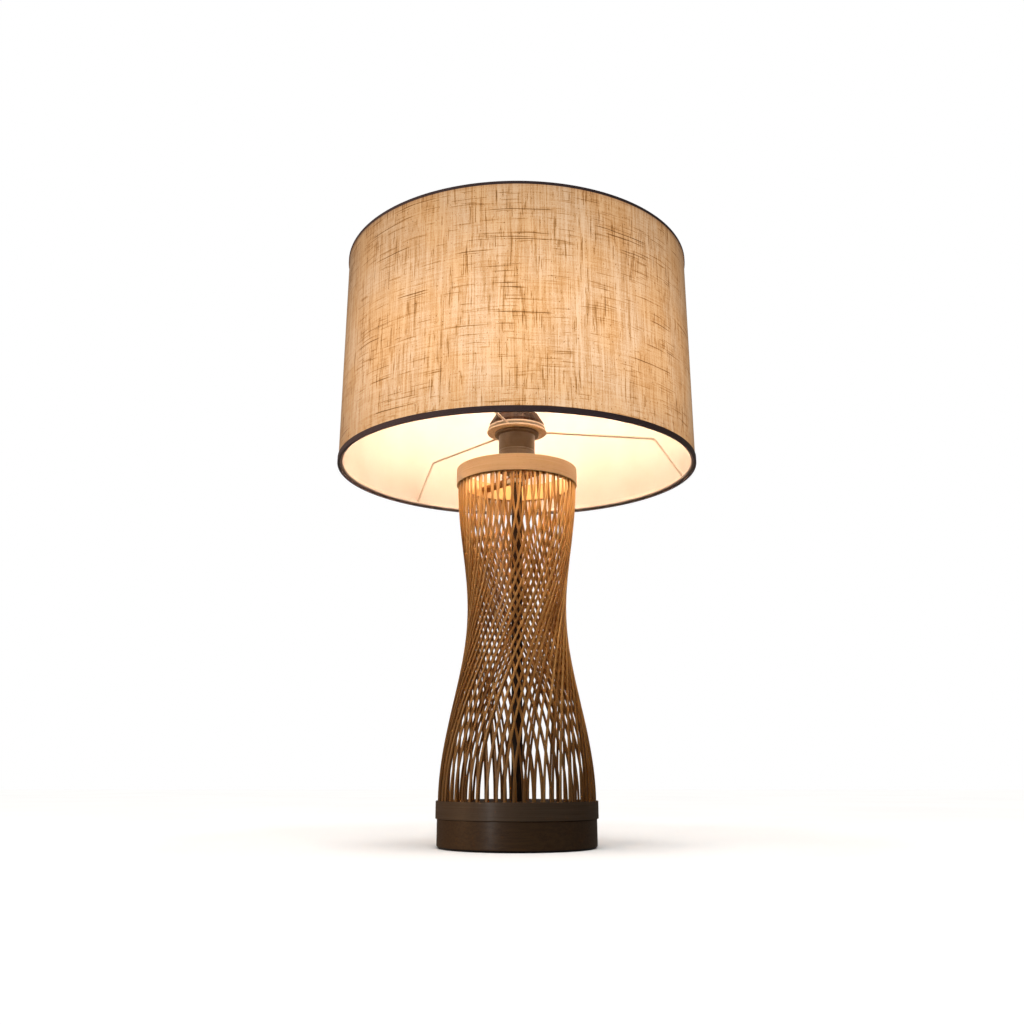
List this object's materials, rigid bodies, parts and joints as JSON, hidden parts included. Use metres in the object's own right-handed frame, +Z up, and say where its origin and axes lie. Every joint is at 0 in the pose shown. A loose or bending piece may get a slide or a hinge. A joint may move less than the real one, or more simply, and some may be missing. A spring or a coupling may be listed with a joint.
{
  "type": "table lamp",
  "caption": "Table lamp with a slub-linen drum shade on a waisted cage of twisted bamboo splints and a round weighted base.",
  "frame": {"origin": "centre of the felt pad, on the surface that the lamp stands on", "axes": "+Z up along the stem, +Y towards the cord inlet, lamp seen from -Y"},
  "size_m": [0.35, 0.35, 0.5641],
  "materials": {
    "felt": "pressed wool felt",
    "base_wood": "dark stained, satin lacquer",
    "band_wood": "dark stained bent band, satin",
    "hoop_wood": "pale bent wood, satin",
    "splint_bamboo": "split bamboo, stained darker towards the base",
    "cover_steel": "black powder coat",
    "screw_steel": "zinc plated",
    "weight_iron": "raw casting",
    "grommet_rubber": "matte",
    "stem_steel": "dark bronze paint",
    "bar_steel": "tan paint",
    "holder_resin": "moulded, satin",
    "grub_nylon": "moulded",
    "carrier_resin": "moulded",
    "contact_brass": "pressed",
    "tip_solder": "soldered",
    "bulb_black": "vitrite black",
    "bulb_cap_metal": "nickel plated",
    "bulb_white": "moulded white",
    "led_board": "white printed board",
    "bulb_opal": "opal diffuser",
    "ring_white": "off-white enamel",
    "wire_white": "off-white enamel",
    "shade_linen": "slub linen, natural",
    "shade_liner": "white shade board",
    "shade_trim": "woven bias tape"
  },
  "bodies": {
    "lamp_body": {"felt_pad": "felt", "base_drum": "base_wood", "base_plug": "base_wood", "base_band": "band_wood", "bottom_cover": "cover_steel", "cover_screws": "screw_steel", "base_weight": "weight_iron", "cord_grommet": "grommet_rubber", "outer_splints": "splint_bamboo", "inner_splints": "splint_bamboo", "top_hoop": "hoop_wood", "inner_hoop": "hoop_wood", "top_spacer": "hoop_wood", "bottom_spacer": "band_wood", "stem_tube": "stem_steel", "foot_washer": "screw_steel", "foot_nut": "screw_steel", "crossbar": "bar_steel", "crossbar_nut": "screw_steel", "lock_washer": "screw_steel", "holder_cap": "holder_resin", "holder_skirt": "holder_resin", "holder_grub_screw": "grub_nylon", "contact_carrier": "carrier_resin", "terminal_blocks": "contact_brass", "terminal_screws": "contact_brass", "screw_shell": "contact_brass", "contact_spring": "screw_steel"},
    "contact": {"centre_contact": "contact_brass"},
    "bulb": {"bulb_tip": "tip_solder", "bulb_insulator": "bulb_black", "bulb_cap": "bulb_cap_metal", "bulb_housing": "bulb_white", "led_board": "led_board", "bulb_globe": "bulb_opal"},
    "washer": {"clamp_washer": "ring_white"},
    "nut": {"ring_nut": "holder_resin"},
    "shade": {"spider_ring": "ring_white", "spider_spokes": "wire_white", "bottom_ring_wire": "wire_white", "top_ring_wire": "wire_white", "shade_fabric": "shade_linen", "shade_liner": "shade_liner", "bottom_trim": "shade_trim", "top_trim": "shade_trim"}
  },
  "joints": [
    {"name": "shade_turn", "type": "hinge", "parent": "lamp_body", "child": "shade", "pos_m": [0, 0, 0.3856], "axis": [0, 0, 1], "continuous": true},
    {"name": "contact_travel", "type": "slide", "parent": "lamp_body", "child": "contact", "axis": [0, 0, 1], "range_m": [0, 0.00302], "deforming": ["contact_spring"]},
    {"name": "bulb_turn", "type": "hinge", "parent": "contact", "child": "bulb", "pos_m": [0, 0, 0.367], "axis": [0, 0, 1], "range_deg": [0, 300]},
    {"name": "washer_rise", "type": "slide", "parent": "lamp_body", "child": "washer", "axis": [0, 0, 1], "range_m": [0, 0.0075]},
    {"name": "ring_nut_turn", "type": "hinge", "parent": "washer", "child": "nut", "pos_m": [0, 0, 0.3913], "axis": [0, 0, 1], "range_deg": [0, 1080]}
  ],
  "couplings": [
    {"joint": "contact_travel", "follows": "bulb_turn", "m_per_rad": 0.00057757},
    {"joint": "washer_rise", "follows": "ring_nut_turn", "m_per_rad": 0.00039789}
  ]
}
